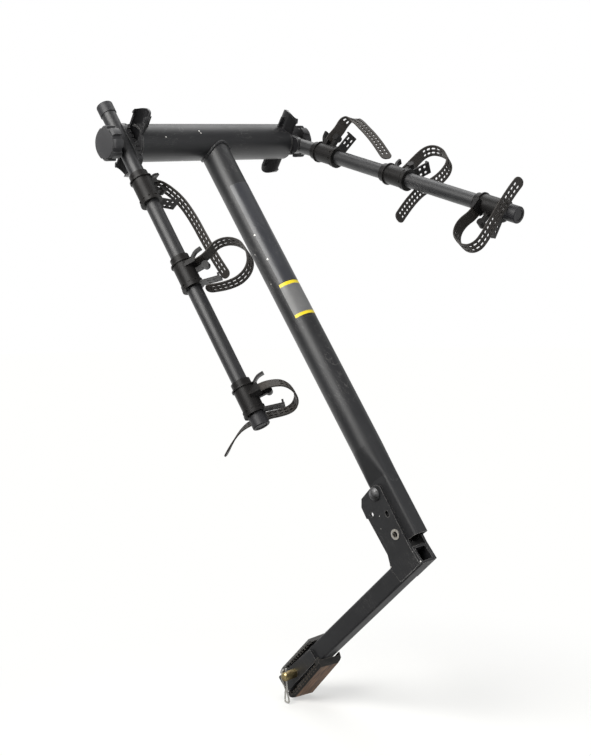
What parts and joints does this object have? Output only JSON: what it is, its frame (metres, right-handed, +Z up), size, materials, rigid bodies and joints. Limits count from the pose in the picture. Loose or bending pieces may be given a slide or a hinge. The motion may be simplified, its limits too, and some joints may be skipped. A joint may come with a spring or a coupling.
{
  "type": "hitch bike rack",
  "caption": "Folding hitch bike rack: square stinger with pin and adapter shells, tilting mast, cross tube, and swinging arms with cradles and ladder straps.",
  "frame": {"origin": "hitch pin axis at the middle of the stinger", "axes": "+Y along the stinger towards the vehicle, +Z up and square to the stinger, +X along the hitch pin and the cross tube"},
  "size_m": [0.5251, 0.8671, 0.9248],
  "materials": {
    "powder_coat": "satin charcoal powder coat",
    "hub_plastic": "glossy black moulding",
    "cradle_plastic": "matte black moulding",
    "cap_plastic": "matte black moulding",
    "knob_plastic": "matte dark grey moulding",
    "strap_rubber": "matte black rubber",
    "shell_plastic": "worn black moulding",
    "plain_zinc": "dull zinc plate",
    "bright_zinc": "bright zinc plate",
    "yellow_zinc": "yellow zinc plate",
    "spring_wire": "bright wire"
  },
  "bodies": {
    "stinger": {"stinger_tube": "powder_coat", "cheek_plate_left": "powder_coat", "cheek_plate_right": "powder_coat", "pivot_plate_left": "powder_coat", "pivot_plate_right": "powder_coat", "lock_bush_left": "bright_zinc", "lock_bush_right": "bright_zinc", "adapter_shell_upper": "shell_plastic", "adapter_shell_lower": "shell_plastic", "pivot_bolt": "plain_zinc", "pivot_nut": "plain_zinc"},
    "hitch_pin": {"hitch_pin": "yellow_zinc", "hairpin_clip": "spring_wire"},
    "mast": {"mast_tube": "powder_coat", "cross_tube": "powder_coat", "hub_bracket_left": "hub_plastic", "hub_bracket_right": "hub_plastic", "arm_bolt_left": "plain_zinc", "arm_bolt_right": "plain_zinc"},
    "left_arm": {"arm_tube_left": "powder_coat", "arm_saddle_left": "hub_plastic", "arm_cap_rear_left": "cap_plastic", "arm_cap_front_left": "cap_plastic"},
    "left_knob": {"clamp_knob_left": "knob_plastic"},
    "right_arm": {"arm_tube_right": "powder_coat", "arm_saddle_right": "hub_plastic", "arm_cap_rear_right": "cap_plastic", "arm_cap_front_right": "cap_plastic"},
    "right_knob": {"clamp_knob_right": "knob_plastic"},
    "left_rear_cradle": {"cradle_left_rear": "cradle_plastic", "strap_left_rear": "strap_rubber"},
    "left_middle_cradle": {"cradle_left_middle": "cradle_plastic", "strap_left_middle": "strap_rubber"},
    "left_front_cradle": {"cradle_left_front": "cradle_plastic", "strap_left_front": "strap_rubber"},
    "right_rear_cradle": {"cradle_right_rear": "cradle_plastic", "strap_right_rear": "strap_rubber"},
    "right_middle_cradle": {"cradle_right_middle": "cradle_plastic", "strap_right_middle": "strap_rubber"},
    "right_front_cradle": {"cradle_right_front": "cradle_plastic", "strap_right_front": "strap_rubber"}
  },
  "joints": [
    {"name": "mast_tilt", "type": "hinge", "parent": "stinger", "child": "mast", "pos_m": [0, -0.3891, 0.11945], "axis": [1, 0, 0], "range_deg": [0, 70]},
    {"name": "hitch_pin_turn", "type": "hinge", "parent": "stinger", "child": "hitch_pin", "pos_m": [0, 0, 0], "axis": [1, 0, 0], "continuous": true},
    {"name": "left_arm_swing", "type": "hinge", "parent": "mast", "child": "left_arm", "pos_m": [-0.188, -0.48642, 0.80621], "axis": [-1, 0, 0], "range_deg": [0, 110]},
    {"name": "left_knob_turn", "type": "hinge", "parent": "mast", "child": "left_knob", "pos_m": [-0.215, -0.48642, 0.80621], "axis": [1, 0, 0], "continuous": true},
    {"name": "right_arm_swing", "type": "hinge", "parent": "mast", "child": "right_arm", "pos_m": [0.188, -0.48642, 0.80621], "axis": [-1, 0, 0], "range_deg": [-39.56, 70.44]},
    {"name": "right_knob_turn", "type": "hinge", "parent": "mast", "child": "right_knob", "pos_m": [0.215, -0.48642, 0.80621], "axis": [1, 0, 0], "continuous": true},
    {"name": "left_rear_swivel", "type": "hinge", "parent": "left_arm", "child": "left_rear_cradle", "pos_m": [-0.188, -0.47478, 0.71142], "axis": [0, 0.1219, -0.9925], "range_deg": [-12, 12]},
    {"name": "left_middle_swivel", "type": "hinge", "parent": "left_arm", "child": "left_middle_cradle", "pos_m": [-0.188, -0.45443, 0.54566], "axis": [0, 0.1219, -0.9925], "range_deg": [-12, 12]},
    {"name": "left_front_swivel", "type": "hinge", "parent": "left_arm", "child": "left_front_cradle", "pos_m": [-0.188, -0.42591, 0.31341], "axis": [0, 0.1219, -0.9925], "range_deg": [-15, 15]},
    {"name": "right_rear_swivel", "type": "hinge", "parent": "right_arm", "child": "right_rear_cradle", "pos_m": [0.188, -0.54401, 0.71603], "axis": [0, -0.5382, -0.8428], "range_deg": [-12, 12]},
    {"name": "right_middle_swivel", "type": "hinge", "parent": "right_arm", "child": "right_middle_cradle", "pos_m": [0.188, -0.63711, 0.57022], "axis": [0, -0.5382, -0.8428], "range_deg": [-12, 12]},
    {"name": "right_front_swivel", "type": "hinge", "parent": "right_arm", "child": "right_front_cradle", "pos_m": [0.188, -0.75013, 0.39322], "axis": [0, -0.5382, -0.8428], "range_deg": [-15, 15]}
  ]
}
